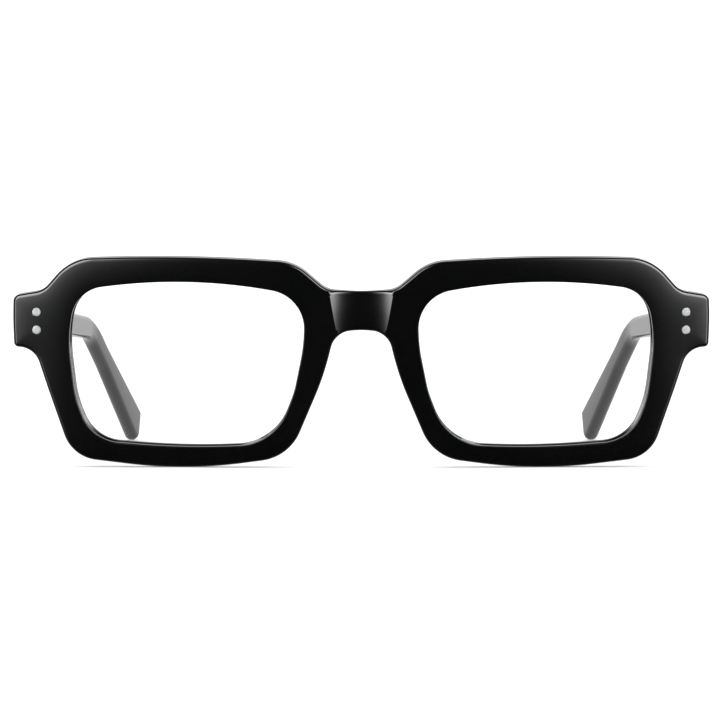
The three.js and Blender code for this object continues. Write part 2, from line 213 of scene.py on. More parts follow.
def turned_in(points):
    """The temple with its tip turned inward: an arc past the ear bend, then straight on."""
    x, y, z = points.T
    start = TIP["bend"] - TIP["lead"]
    past = np.maximum(y - start, 0)
    centre = TEMPLE["inner"] - TIP["radius"]
    angle = np.minimum(past / TIP["radius"], math.radians(TIP["turn"]))
    straight = past - angle * TIP["radius"]
    radius = x - centre
    turned_x = centre + radius * np.cos(angle) - straight * np.sin(angle)
    turned_y = start + radius * np.sin(angle) + straight * np.cos(angle)
    bent = y > start
    return np.column_stack((np.where(bent, turned_x, x), np.where(bent, turned_y, y), z))


# ---------------------------------------------------------------- outlines
def unit(v):
    return v / np.linalg.norm(v)


def cross2(a, b):
    return a[0] * b[1] - a[1] * b[0]


def corner_arc(before, corner, after, radius, spacing):
    """Points and outward normals of one rounded corner of an anticlockwise outline."""
    a = unit(before - corner)
    b = unit(after - corner)
    half = math.acos(max(-1.0, min(1.0, float(a @ b)))) / 2
    centre = corner + unit(a + b) * radius / math.sin(half)
    start = corner + a * radius / math.tan(half) - centre
    end = corner + b * radius / math.tan(half) - centre
    turn = math.atan2(cross2(start, end), start @ end)
    steps = max(2, math.ceil(abs(turn) * max(radius / spacing, LEAST_PER_RADIAN)))
    angles = turn * np.linspace(0, 1, steps + 1)
    x = start[0] * np.cos(angles) - start[1] * np.sin(angles)
    y = start[0] * np.sin(angles) + start[1] * np.cos(angles)
    spokes = np.column_stack((x, y))
    return centre + spokes, math.copysign(1, turn) * spokes / radius


def rounded(corners, spacing=SPACING, fine=None):
    """A closed anticlockwise outline and its outward normals, from [x, y, corner radius].
    fine tells where its points are closer."""
    c = np.array(corners, float)
    ahead = np.roll(c, -1, axis=0)
    if np.sum(c[:, 0] * ahead[:, 1] - ahead[:, 0] * c[:, 1]) < 0:
        c = c[::-1]
    n = len(c)
    arcs = []
    for i in range(n):
        near = fine is not None and fine(c[i, :2])
        step = BRIDGE_SPACING if near else spacing
        arcs.append(corner_arc(c[i - 1, :2], c[i, :2], c[(i + 1) % n, :2], c[i, 2], step))
    points, normals = [], []
    for i in range(n):
        arc_points, arc_normals = arcs[i]
        points.extend(arc_points)
        normals.extend(arc_normals)
        run = arcs[(i + 1) % n][0][0] - arc_points[-1]
        length = np.linalg.norm(run)
        near = fine is not None and fine(arc_points[-1] + run / 2)
        pieces = math.ceil(length / (BRIDGE_SPACING if near else spacing))
        if length < 1e-6:
            points.pop()
            normals.pop()
            continue
        outward = np.array([run[1], -run[0]]) / length
        for k in range(1, pieces):
            points.append(arc_points[-1] + run * k / pieces)
            normals.append(outward)
    return np.array(points), np.array(normals)


def mirrored(corners):
    return [[-u, v, r] for u, v, r in corners]


def near_bridge(point):
    return abs(point[0]) < BRIDGE_OUTLINE["half"] and point[1] > BRIDGE_OUTLINE["low"]


# ---------------------------------------------------------------- slabs
def quarter_round(radius, steps):
    """A rounded edge, from the face round to the side: (depth from the side, from the face)."""
    angles = [math.pi / 2 * k / steps for k in range(steps + 1)]
    return [(radius * (1 - math.sin(a)), radius * (1 - math.cos(a))) for a in angles]


def edge_levels(edge, groove, steps=7):
    """Rings round an edge, front to back: (depth into the material, side, height from it)."""
    fillet = quarter_round(edge, steps)
    front = [(t, "front", h) for t, h in fillet]
    back = [(t, "back", h) for t, h in reversed(fillet)]
    front.insert(0, (edge + LIP, "front", 0))
    back.append((edge + LIP, "back", 0))
    middle = [(0, "front", edge + LIP), (0, "back", edge + LIP)]
    if groove:
        mouth, flat, reach = groove["mouth"], groove["flat"], groove["reach"]
        channel = [(0, -mouth), (reach, -flat), (reach, flat), (0, mouth)]
        middle[1:1] = [(t, "middle", h) for t, h in channel]
    return front + middle + back


def crown_drop(crown, depths, uv):
    """How far the polished face has fallen at points, from all the edges round it."""
    drop, softness = crown
    return sum(drop * np.exp(-np.maximum(depth(uv), 0) / softness) for depth in depths)


def scoop_middle(v):
    """How deep the scoop is along its middle."""
    slope = (SCOOP["top_depth"] - SCOOP["under_depth"]) / (SCOOP["top_v"] - SCOOP["under_v"])
    return SCOOP["under_depth"] + (v - SCOOP["under_v"]) * slope


def scoop_depth(u, v):
    """How deep the bridge's scoop is below the face; 0 outside it."""
    r = SCOOP["radius"]
    chord = np.sqrt(np.maximum(r * r - u * u, 0))
    return np.maximum(scoop_middle(v) - r + chord, 0)


def scoop_creases():
    """The two lines where the scoop meets the face."""
    v = np.arange(*CREASE_SPAN, SPACING)
    deepest = scoop_middle(v)
    u = np.sqrt(2 * SCOOP["radius"] * deepest - deepest**2)
    return [np.column_stack((u, v)), np.column_stack((-u, v))]


def depth_finder(points, into):
    """A function that gives how deep points are inside an outline, along its normals."""
    tree = KDTree(len(points))
    for i, (x, y) in enumerate(points):
        tree.insert((x, y, 0), i)
    tree.balance()

    def depth(queries):
        found = [tree.find((x, y, 0))[1] for x, y in queries]
        return np.sum((queries - points[found]) * into[found], axis=1)

    return depth


def within(points, rings):
    """Which points an odd number of the closed rings go round."""
    starts = np.vstack(rings)
    ends = np.vstack([np.roll(ring, -1, axis=0) for ring in rings])
    (x0, y0), (x1, y1) = starts.T, ends.T
    rise = np.where(y1 == y0, 1, y1 - y0)
    odd = np.zeros(len(points), bool)
    batch = 2000  # points at a time, which bounds the memory used
    for first in range(0, len(points), batch):
        x, y = points[first : first + batch].T[:, :, None]
        crossed = ((y0 > y) != (y1 > y)) & (x < x0 + (y - y0) * (x1 - x0) / rise)
        odd[first : first + batch] = crossed.sum(axis=1) % 2 == 1
    return odd


def hex_grid(low, high, pitch):
    rows = np.arange(low[1], high[1], pitch * math.sqrt(3) / 2)
    points = []
    for k, y in enumerate(rows):
        x = np.arange(low[0] + pitch / 2 * (k % 2), high[0], pitch)
        points.append(np.column_stack((x, np.full(len(x), y))))
    return np.vstack(points)


def slab(outer, holes, thickness, edges, crowns, groove=None, scooped=False, grid=GRID):
    """A closed sheet in plate coordinates with rounded edges, crowned faces and holes.
    edges holds the edge radius of the outline and that of the holes."""
    contours = [(outer[0], -outer[1], edges[0], edge_levels(edges[0], None))]
    contours += [(p, normals, edges[1], edge_levels(edges[1], groove)) for p, normals in holes]
    depths = [depth_finder(points, into) for points, into, _, _ in contours]

    def heights(uv, side, h):
        if side == "middle":
            return np.full(len(uv), thickness / 2 + h)
        if side == "back":
            return thickness - h - crown_drop(crowns[1], depths, uv)
        scoop = scoop_depth(uv[:, 0], uv[:, 1]) if scooped else 0
        return h + scoop + crown_drop(crowns[0], depths, uv)

    verts, faces, front_ids, back_ids, rings = [], [], [], [], []
    count = 0
    for points, into, edge, levels in contours:
        n = len(points)
        for t, side, h in levels:
            uv = points + into * t
            verts.append(np.column_stack((uv, heights(uv, side, h))))
        faces += strips(count, n, len(levels))
        rings.append(points + into * (edge + LIP))
        front_ids.append(np.arange(n) + count)
        back_ids.append(np.arange(n) + count + (len(levels) - 1) * n)
        count += len(levels) * n

    def clear(uv):
        """How far points are inside the face's own rings."""
        return min_of([d(uv) - edge - LIP for d, (_, _, edge, _) in zip(depths, contours)])

    free, chains = face_points(rings, clear, grid, scooped)
    triangles = fill(rings, free, chains)
    for side, ring_ids in (("front", front_ids), ("back", back_ids)):
        verts.append(np.column_stack((free, heights(free, side, 0))))
        ids = np.concatenate(ring_ids + [np.arange(len(free)) + count])
        count += len(free)
        faces += [tuple(ids[t]) for t in triangles]
    return np.vstack(verts), faces


def min_of(values):
    return np.min(np.array(values), axis=0)


def closed_tube(n, levels):
    """Faces of a solid made of rings of n points, with a flat face at each end."""
    last = (levels - 1) * n
    return strips(0, n, levels) + [tuple(range(n))[::-1], tuple(range(last, last + n))]


def strips(first, n, levels):
    """Quads between rings of n points that follow each other from a first index."""
    faces = []
    for a in range(first, first + (levels - 1) * n, n):
        faces += [(a + i, a + (i + 1) % n, a + n + (i + 1) % n, a + n + i) for i in range(n)]
    return faces


def face_points(rings, clear, grid, scooped):
    """Points inside a face, and the spans of them that an edge must follow."""
    ring_points = np.vstack(rings)
    points = hex_grid(ring_points.min(axis=0), ring_points.max(axis=0), grid)
    chains = []
    if scooped:
        half, low, high = BRIDGE_FACE["half"], BRIDGE_FACE["low"], BRIDGE_FACE["high"]
        in_scoop = (np.abs(points[:, 0]) < half) & (points[:, 1] > low)
        points = np.vstack((points[~in_scoop], hex_grid((-half, low), (half, high), grid / 2)))
        for crease in scoop_creases():
            near = np.min(np.linalg.norm(points[:, None] - crease[None], axis=2), axis=1)
            points = points[near > grid * 0.3]
            chains.append(crease[(clear(crease) > CREASE_CLEAR) & within(crease, rings)])
    points = points[(clear(points) > grid * 0.4) & within(points, rings)]
    start = len(points)
    spans = []
    for chain in chains:
        spans.append((start, len(chain)))
        start += len(chain)
    return np.vstack([points] + chains), spans


def fill(rings, free, chains):
    """Triangles over a face, between its rings and through its inner points."""
    points = np.vstack(rings + [free])
    edges = []
    start = 0
    for ring in rings:
        n = len(ring)
        edges += [(start + i, start + (i + 1) % n) for i in range(n)]
        start += n
    for first, n in chains:
        edges += [(start + first + i, start + first + i + 1) for i in range(n - 1)]
    whole_hull, nearness = 0, 1e-7
    out, _, triangles, origins, _, _ = delaunay_2d_cdt(
        [Vector(p) for p in points], edges, [], whole_hull, nearness
    )
    assert len(out) == len(points), "a face's outline crosses itself"
    triangles = np.array([[origins[i][0] for i in t] for t in triangles])
    ring_edges = {tuple(sorted(edge)) for edge in edges[: sum(len(ring) for ring in rings)]}
    return triangles[enclosed(triangles, ring_edges)]


def enclosed(triangles, ring_edges):
    """Which triangles are inside: on the way in from outside, each ring crossed swaps sides."""
    sides = [[tuple(sorted((t[k], t[k - 1]))) for k in range(3)] for t in triangles.tolist()]
    beside = {}
    for i, edges in enumerate(sides):
        for edge in edges:
            beside.setdefault(edge, []).append(i)
    waiting = [(pair[0], edge in ring_edges) for edge, pair in beside.items() if len(pair) == 1]
    inside = {}
    while waiting:
        i, state = waiting.pop()
        if i in inside:
            continue
        inside[i] = state
        for edge in sides[i]:
            crossed = state != (edge in ring_edges)
            waiting += [(other, crossed) for other in beside[edge] if other not in inside]
    return np.array([inside[i] for i in range(len(triangles))])


# ---------------------------------------------------------------- meshes
def new_object(name, verts, faces):
    mesh = bpy.data.meshes.new(name)
    mesh.from_pydata([tuple(v) for v in verts], [], [tuple(map(int, f)) for f in faces])
    work = bmesh.new()
    work.from_mesh(mesh)
    bmesh.ops.remove_doubles(work, verts=work.verts, dist=1e-8)
    bmesh.ops.recalc_face_normals(work, faces=work.faces)
    work.to_mesh(mesh)
    work.free()
    obj = bpy.data.objects.new(name, mesh)
    bpy.context.scene.collection.objects.link(obj)
    return obj


def smooth(obj, angle=SHARP):
    mesh = obj.data
    mesh.polygons.foreach_set("use_smooth", [True] * len(mesh.polygons))
    mesh.set_sharp_from_angle(angle=angle)
    mesh.update()
    return obj


def combined(obj, tools, operation):
    """obj with the tools joined on or cut away; the tools are used up."""
    for tool in tools:
        modifier = obj.modifiers.new("combine", "BOOLEAN")
        modifier.operation = operation
        modifier.solver = "EXACT"
        modifier.object = tool
    graph = bpy.context.evaluated_depsgraph_get()
    result = bpy.data.meshes.new_from_object(obj.evaluated_get(graph))
    obj.modifiers.clear()
    old = obj.data
    obj.data = result
    bpy.data.meshes.remove(old)
    for tool in tools:
        bpy.data.meshes.remove(tool.data)
    return obj


def mirror_image(obj, name):
    mesh = obj.data.copy()
    mesh.transform(Matrix.Scale(-1, 4, Vector((1, 0, 0))))
    mesh.flip_normals()
    mesh.name = name
    twin = bpy.data.objects.new(name, mesh)
    bpy.context.scene.collection.objects.link(twin)
    return twin


def lathe(profile, steps=48):
    """A turned solid along +Z from [radius, height] pairs, low to high; both ends closed."""
    verts = []
    for r, z in profile:
        for k in range(steps):
            a = 2 * math.pi * k / steps
            verts.append((r * math.cos(a), r * math.sin(a), z))
    return np.array(verts), closed_tube(steps, len(profile))


def along_y(points):
    """A turned solid laid along +Y."""
    return points[:, [0, 2, 1]]


def along_x(points):
    """A turned solid laid along +X."""
    return points[:, [2, 0, 1]]


def plain_block(low, high):
    xs, ys, zs = zip(low, high)
    verts = np.array([(x, y, z) for x in xs for y in ys for z in zs])
    faces = [(0, 1, 3, 2), (4, 6, 7, 5), (0, 4, 5, 1), (2, 3, 7, 6), (0, 2, 6, 4), (1, 5, 7, 3)]
    return verts, faces


def rounded_plate(x_range, y_range, corner, thickness, chamfer):
    """A small plate with rounded corners and broken edges, from z = 0 to its thickness."""
    (x0, x1), (y0, y1) = x_range, y_range
    corners = [[x0, y0, corner], [x1, y0, corner], [x1, y1, corner], [x0, y1, corner]]
    outline = rounded(corners, 0.3)
    return prism(outline, thickness, chamfer)


def prism(outline, thickness, chamfer, steps=3):
    """An outline extruded along +Z, with its edges rounded a little and flat n-gon ends."""
    points, normals = outline
    n = len(points)
    levels = [(chamfer + LIP, 0)] + quarter_round(chamfer, steps) + [(0, chamfer + LIP)]
    levels += [(t, thickness - h) for t, h in reversed(levels)]
    verts = [np.column_stack((points - normals * t, np.full(n, z))) for t, z in levels]
    return np.vstack(verts), closed_tube(n, len(levels))


# ---------------------------------------------------------------- the front
def rivet_hole(place, low, high, axis):
    """A tool for a rivet's hole, with its mouth broken at the outer face."""
    r = RIVET["radius"] + RIVET["clear"]
    lip = RIVET["mouth"]
    verts, faces = lathe([[r + lip, low - 1], [r + lip, low], [r, low + lip], [r, high]], 56)
    return place(axis(verts)), faces


def shifted(points, x=0.0, y=0.0, z=0.0):
    return points + np.array([x, y, z])


def rivet_heights(rivets):
    """The lower and the upper rivet of a pair, from the hinge's middle."""
    return (-rivets["spacing"] / 2, rivets["spacing"] / 2)


def front_tools(side):
    """The pocket for the hinge leaf and the two rivet holes, for one side."""
    clear = LEAF["clear"]
    span = (-HALF_SPAN - clear, HALF_SPAN + clear)
    across = (FRONT_LEAF[0] - clear, FRONT_LEAF[1] + clear)
    deep = LEAF["thick"] + POCKET["spare"]
    verts, faces = rounded_plate(across, span, LEAF["corner"], deep, POCKET["edge"])
    pocket = shifted(verts[:, [0, 2, 1]], y=BACK_FACE_Y - LEAF["thick"] - clear)
    tools = [new_object("tool", from_front_hinge(pocket), faces)]
    for height in rivet_heights(FRONT_RIVET):
        verts, faces = rivet_hole(
            lambda p: from_front_hinge(shifted(p, x=FRONT_RIVET["x"], z=height)),
            FRONT_FACE_Y,
            BACK_FACE_Y + 1,
            along_y,
        )
        tools.append(new_object("tool", verts, faces))
    if side == "left":
        return tools
    twins = [mirror_image(tool, "tool") for tool in tools]
    for tool in tools:
        bpy.data.meshes.remove(tool.data)
    return twins


def build_front():
    corners = RIM_HALF + mirrored(RIM_HALF[1:-1])[::-1]
    outer = rounded(corners, fine=near_bridge)
    holes = [rounded(OPENING), rounded(mirrored(OPENING))]
    edges = (FRONT_EDGE, OPENING_EDGE)
    crowns = (FRONT_CROWN, BACK_CROWN)
    verts, faces = slab(outer, holes, PLATE, edges, crowns, GROOVE, scooped=True)
    front = new_object("front_acetate", from_plate(verts), faces)
    combined(front, front_tools("left") + front_tools("right"), "DIFFERENCE")
    return smooth(front)


# ---------------------------------------------------------------- lenses
def lens_bulge(uv):
    x = (uv[:, 0] - LENS_MIDDLE[0]) / LENS_HALF[0]
    y = (uv[:, 1] - LENS_MIDDLE[1]) / LENS_HALF[1]
    return LENS["bulge"] * (1 - x**2) * (1 - y**2)


def build_lens():
    """A lens with a bevelled edge that sits in the groove, curved a little forward."""
    points, normals = rounded(OPENING)
    n = len(points)
    depth = depth_finder(points, -normals)
    half, flat, back, reach = LENS["half"], LENS["flat"], LENS["back"], LENS["reach"]
    verts = []
    for t, h, curved in ((-back, -half, 1), (reach, -flat, 0), (reach, flat, 0), (-back, half, 1)):
        uv = points + normals * t
        verts.append(np.column_stack((uv, PLATE / 2 + h - curved * lens_bulge(uv))))
    faces = strips(0, n, 4)
    ring = points - normals * back
    pitch = 1.0
    free = hex_grid(ring.min(axis=0), ring.max(axis=0), pitch)
    free = free[(depth(free) > back + pitch / 2) & within(free, [ring])]
    triangles = fill([ring], free, [])
    count = 4 * n
    for h, first in ((-half, 0), (half, 3 * n)):
        verts.append(np.column_stack((free, PLATE / 2 + h - lens_bulge(free))))
        ids = np.concatenate((np.arange(n) + first, np.arange(len(free)) + count))
        count += len(free)
        faces += [tuple(ids[t]) for t in triangles]
    return smooth(new_object("left_lens_clear", from_plate(np.vstack(verts)), faces))


# ---------------------------------------------------------------- nose pads
def build_nose_pad():
    """A glued pad: half an egg that flares where it meets the rim and splays as it stands back."""
    around, up = 72, 26
    sunk, fade = PAD_FOOT["sunk"], PAD_FOOT["fade"]
    verts = []
    angles = np.linspace(0, 2 * math.pi, around, endpoint=False)
    for k in range(up):
        lift = math.sin(math.pi / 2 * k / (up - 1))
        width = math.cos(math.pi / 2 * k / (up - 1))
        flare = PAD_FOOT["flare"] * math.exp(-lift * PAD["rise"] / fade)
        z = lift * PAD["rise"] - sunk * (1 - lift)
        x = (PAD["width"] / 2 * width + flare) * np.cos(angles)
        y = (PAD["height"] / 2 * width + flare) * np.sin(angles)
        verts.append(np.column_stack((x + z * math.tan(math.radians(PAD["splay"])), y, x * 0 + z)))
    faces = strips(0, around, up) + [tuple(range(around))[::-1]]
    lean = math.radians(PAD["lean"])
    x, y, z = np.vstack(verts).T
    u = PAD["u"] + x * math.cos(lean) - y * math.sin(lean)
    v = PAD["v"] + x * math.sin(lean) + y * math.cos(lean)
    pad = new_object("left_nose_pad_acetate", from_plate(np.column_stack((u, v, PLATE + z))), faces)
    return smooth(pad, math.radians(60))


# ---------------------------------------------------------------- hinges
def knuckle_lows(first):
    step = HINGE["knuckle"] + HINGE["gap"]
    return [i * step - HALF_SPAN for i in range(first, KNUCKLES, 2)]


def hinge_half(name, plate, outline, first, holes, place):
    """A leaf with its knuckles joined on, bored for the screw and the rivets."""
    body = new_object(name, place(plate[0]), plate[1])
    knuckles = []
    for low in knuckle_lows(first):
        verts, faces = prism(rounded(outline, 0.12), HINGE["knuckle"], KNUCKLE["edge"])
        knuckles.append(new_object("tool", place(shifted(verts, z=low)), faces))
    combined(body, knuckles, "UNION")
    bore, faces = lathe([[HINGE["bore"], -HALF_SPAN - 1], [HINGE["bore"], HALF_SPAN + 1]], 40)
    tools = [new_object("tool", place(bore), faces)]
    for verts, faces in holes:
        tools.append(new_object("tool", place(verts), faces))
    combined(body, tools, "DIFFERENCE")
    return smooth(body, math.radians(25))


def leaf_holes(rivets, low, high, spot):
    """Tools for the two rivet holes in a leaf; low and high count from its bare face."""
    r = RIVET["radius"] + LEAF_CLEAR
    verts, faces = lathe([[r, low], [r, high]], 48)
    return [(spot(verts, height), faces) for height in rivet_heights(rivets)]


def build_front_hinge():
    thick = LEAF["thick"]
    span = (-HALF_SPAN, HALF_SPAN)
    verts, faces = rounded_plate(FRONT_LEAF, span, LEAF["corner"], thick, LEAF["chamfer"])
    plate = (shifted(verts[:, [0, 2, 1]], y=BACK_FACE_Y - thick), faces)
    r, half, corner = HINGE["barrel"], KNUCKLE["front_foot"], KNUCKLE["corner"]
    turn = r * KNUCKLE["round"]
    foot = BACK_FACE_Y - thick / 2
    outline = [[-r, r, turn], [r, r, turn], [half, foot, corner], [-half, foot, corner]]

    def spot(points, height):
        return shifted(along_y(points), x=FRONT_RIVET["x"], y=BACK_FACE_Y, z=height)

    holes = leaf_holes(FRONT_RIVET, -2, 1, spot)
    return hinge_half("left_front_hinge_metal", plate, outline, 0, holes, from_front_hinge)


def build_temple_hinge():
    thick = LEAF["thick"]
    inner = TEMPLE["inner"]
    span = (-HALF_SPAN, HALF_SPAN)
    verts, faces = rounded_plate(TEMPLE_LEAF, span, LEAF["corner"], thick, LEAF["chamfer"])
    plate = (shifted(verts[:, [2, 0, 1]], x=inner), faces)
    r, half, corner = HINGE["barrel"], KNUCKLE["temple_foot"], KNUCKLE["corner"]
    turn = r * KNUCKLE["round"]
    foot = inner + thick / 2
    outline = [[-r, -r, turn], [foot, -half, corner], [foot, half, corner], [-r, r, turn]]

    def spot(points, height):
        return shifted(along_x(points), x=inner, y=TEMPLE_RIVET["y"], z=height)

    holes = leaf_holes(TEMPLE_RIVET, -1, 2, spot)
    return hinge_half("left_temple_hinge_metal", plate, outline, 1, holes, from_temple_hinge)


def rivet_profile(length):
    """A rivet's outline, alike at both ends: a slight dome with a broken edge."""
    r, chamfer, dome = RIVET["radius"], RIVET["chamfer"], RIVET["dome"]
    middle, step = 0.02, 0.02  # the radius of the dome's own flat, and the edge's first drop
    end = [(middle, 0.0)]
    for share in (0.35, 0.6, 0.8, 0.92):
        end.append((r * share, dome * share**2))
    end += [(r - chamfer / 3, dome + step), (r, dome + chamfer)]
    low = [[x, z] for x, z in end]
    return low + [[x, length - z] for x, z in reversed(end)]


def build_front_rivet(name, height):
    verts, faces = lathe(rivet_profile(PLATE), 56)
    spot = shifted(along_y(verts), x=FRONT_RIVET["x"], y=FRONT_FACE_Y, z=height)
    return smooth(new_object(name, from_front_hinge(spot), faces), math.radians(35))


def build_temple_rivet(name, height):
    verts, faces = lathe(rivet_profile(TEMPLE["thick"]), 56)
    spot = shifted(along_x(verts), x=TEMPLE["inner"], y=TEMPLE_RIVET["y"], z=height)
    return smooth(new_object(name, from_temple_hinge(spot), faces), math.radians(35))


def build_screw():
    """A hinge screw, turned from the tail's tip up to the crown of its slotted head."""
    top = HALF_SPAN + SCREW["seat"]
    tip = top + SCREW["height"]
    shank, head = SCREW["shank"], SCREW["head"]
    bottom = -HALF_SPAN - SCREW["tail"]
    profile = [
        [shank * 0.7, bottom],
        [shank * 0.92, bottom + 0.06],
        [shank, bottom + 0.18],
        [shank, top],
        [head - 0.08, top],
        [head, top + 0.08],
        [head, tip - 0.24],
        [head - 0.08, tip - 0.1],
        [head - 0.24, tip - 0.03],
        [head - 0.5, tip],
    ]
    verts, faces = lathe(profile, 64)
    screw = new_object("left_hinge_screw_metal", from_front_hinge(verts), faces)
    half = SCREW["slot"] / 2
    slot, faces = plain_block((-2, -half, tip - SCREW["slot"]), (2, half, tip + 1))
    turn = np.array(Matrix.Rotation(math.radians(35), 3, "Z"))
    combined(screw, [new_object("tool", from_front_hinge(slot @ turn.T), faces)], "DIFFERENCE")
    return smooth(screw, math.radians(30))


# ---------------------------------------------------------------- temples
def temple_corners():
    """The temple's side view, [along, up, corner radius], its butt end square to the hinge."""
    drop = math.radians(TIP["drop"])
    bend = TIP["bend"]
    length = TIP["length"]

    def on_tip(along, up, radius):
        y = bend + along * math.cos(drop) + up * math.sin(drop)
        z = -along * math.sin(drop) + up * math.cos(drop)
        return [y, z, radius]

    def at_butt(up, radius):
        face = BACK_FACE_Y + TEMPLE["gap"]
        return [(face - up * math.sin(DROP)) / math.cos(DROP), up, radius]

    return [
        at_butt(-5.2, 1.4),
        [12, -4.8, 60],
        [58, -2.6, 120],
        [bend - 1, -2.5, 20],
        on_tip(16, -2.6, 60),
        on_tip(length, -4.1, 2.4),
        on_tip(length - 1, 4.2, 1.5),
        on_tip(14, 2.6, 60),
        [bend + 1, 2.5, 38],
        [58, 2.6, 120],
        [12, 4.5, 60],
        at_butt(4.82, 1.4),
    ]


def squared_butt(points):
    """Slants the butt end so that it lies against the end piece, which isn't square to it."""
    slant = math.tan(HINGE_TURN - math.radians(TEMPLE["toe_in"])) / math.cos(DROP)
    fade = 12  # the slant is gone this far along
    reach = np.clip(1 - points[:, 1] / fade, 0, 1)
    moved = points.copy()
    moved[:, 1] += points[:, 0] * slant * reach
    return moved


def temple_tools():
    """The pocket for the hinge leaf, and the rivet holes from the outer face."""
    clear = LEAF["clear"]
    inner = TEMPLE["inner"]
    span = (-HALF_SPAN - clear, HALF_SPAN + clear)
    along = (POCKET["mouth"], TEMPLE_LEAF[1] + clear)
    deep = LEAF["thick"] + POCKET["spare"]
    verts, faces = rounded_plate(along, span, LEAF["corner"], deep, POCKET["edge"])
    pocket = shifted(verts[:, [2, 0, 1]], x=inner - POCKET["spare"] + clear)
    tools = [new_object("tool", from_temple_hinge(pocket), faces)]
    for height in rivet_heights(TEMPLE_RIVET):
        verts, faces = rivet_hole(
            lambda p: from_temple_hinge(
                shifted(p * [-1, 1, 1], x=inner + TEMPLE["thick"], y=TEMPLE_RIVET["y"], z=height)
            ),
            0.0,
            TEMPLE["thick"] + 1,
            along_x,
        )
        tools.append(new_object("tool", verts, faces))
    return tools


def build_temple():
    outline = rounded(temple_corners())
    crowns = (TEMPLE_CROWN, TEMPLE_CROWN)
    edges = (TEMPLE["edge"], 0)
    verts, faces = slab(outline, [], TEMPLE["thick"], edges, crowns, grid=0.8)
    y, z, x = verts.T
    points = squared_butt(np.column_stack((x + TEMPLE["inner"], y, z)))
    temple = new_object("left_temple_acetate", from_temple(points), faces)
    combined(temple, temple_tools(), "DIFFERENCE")
    return smooth(temple)


def build_core_wire():
    """The stiffening wire inside the temple: round, and bent with it."""
    drop = math.radians(TIP["drop"])
    bend, curve = TIP["bend"], CORE["bend"]
    end = TIP["length"] - CORE["spare"]
    centre = [(y, 0.0) for y in np.linspace(CORE["start"], bend - curve, 60)]
    for s in np.linspace(0, 1, 24)[1:]:
        y = bend - curve * (1 - s) ** 2 + curve * math.cos(drop) * s**2
        centre.append((y, -curve * math.sin(drop) * s**2))
    for along in np.linspace(curve, end, 30)[1:]:
        centre.append((bend + along * math.cos(drop), -along * math.sin(drop)))
    centre = np.array(centre)
    heading = np.gradient(centre, axis=0)
    heading /= np.linalg.norm(heading, axis=1)[:, None]
    around = 20
    angles = np.linspace(0, 2 * math.pi, around, endpoint=False)
    radius = np.full(len(centre), CORE["wire"])
    radius[0] = radius[-1] = CORE["wire"] * CORE["end"]
    verts = []
    for (y, z), (dy, dz), r in zip(centre, heading, radius):
        side = r * np.cos(angles)
        up = r * np.sin(angles)
        x = TEMPLE["inner"] + TEMPLE["thick"] / 2 + side
        verts.append(np.column_stack((x, y - dz * up, z + dy * up)))
    faces = closed_tube(around, len(centre))
    return smooth(new_object("left_core_wire_metal", from_temple(np.vstack(verts)), faces))


# ---------------------------------------------------------------- materials
class Graph:
    """A short way to write the shader nodes of a material or of the world."""

    def __init__(self, owner):
        self.owner = owner
        owner.use_nodes = True
        self.tree = owner.node_tree
        self.tree.nodes.clear()

    def add(self, kind, inputs=None, **settings):
        """A node, with each input linked to another node's output or set to a value."""
        node = self.tree.nodes.new(kind)
        for key, value in settings.items():
            setattr(node, key, value)
        for key, value in (inputs or {}).items():
            if isinstance(value, bpy.types.NodeSocket):
                self.tree.links.new(value, node.inputs[key])
            else:
                node.inputs[key].default_value = value
        return node

    def place(self):
        return self.add("ShaderNodeTexCoord").outputs["Object"]

    def noise(self, scale, detail=2.0, stretch=(1, 1, 1)):
        mapping = self.add("ShaderNodeMapping", {"Vector": self.place(), "Scale": stretch})
        inputs = {"Vector": mapping.outputs[0], "Scale": scale, "Detail": detail}
        return self.add("ShaderNodeTexNoise", inputs).outputs["Fac"]

    def spread(self, value, low, high, start=0.3, end=0.7):
        inputs = {0: value, 1: start, 2: end, 3: low, 4: high}
        return self.add("ShaderNodeMapRange", inputs).outputs[0]

    def maths(self, operation, a, b=0.0):
        return self.add("ShaderNodeMath", {0: a, 1: b}, operation=operation).outputs[0]

    def bump(self, height, strength, distance, normal=None):
        inputs = {"Height": height, "Strength": strength, "Distance": distance}
        if normal is not None:
            inputs["Normal"] = normal
        return self.add("ShaderNodeBump", inputs).outputs[0]

    def blend(self, share, a, b):
        return self.add("ShaderNodeMix", {0: share, 6: a, 7: b}, data_type="RGBA").outputs[2]

    def finish(self, shader):
        self.add("ShaderNodeOutputMaterial", {"Surface": shader})
        return self.owner


def material_graph(name):
    return Graph(bpy.data.materials.new(name))


def acetate_material():
    """Polished black acetate: nearly black depth, a faint uneven polish and fine wipe marks."""
    g = material_graph("black_acetate")
    depth = g.spread(g.noise(60, 3), 0, 1)
    colour = g.blend(depth, (0.0019, 0.0022, 0.0021, 1), (0.0029, 0.0031, 0.0030, 1))
    haze = g.spread(g.noise(700, 4), 0.045, 0.085)
    wipe = g.noise(420, 6, (1, 9, 2))
    rough = g.maths("ADD", haze, g.spread(wipe, 0, 0.02, 0.5, 0.8))
    peel = g.bump(g.noise(160, 1), 0.10, 0.00006)
    marks = g.bump(wipe, 0.06, 0.00001, peel)
    inputs = {"Base Color": colour, "Roughness": rough, "Normal": marks, "IOR": 1.49}
    return g.finish(g.add("ShaderNodeBsdfPrincipled", inputs).outputs[0])


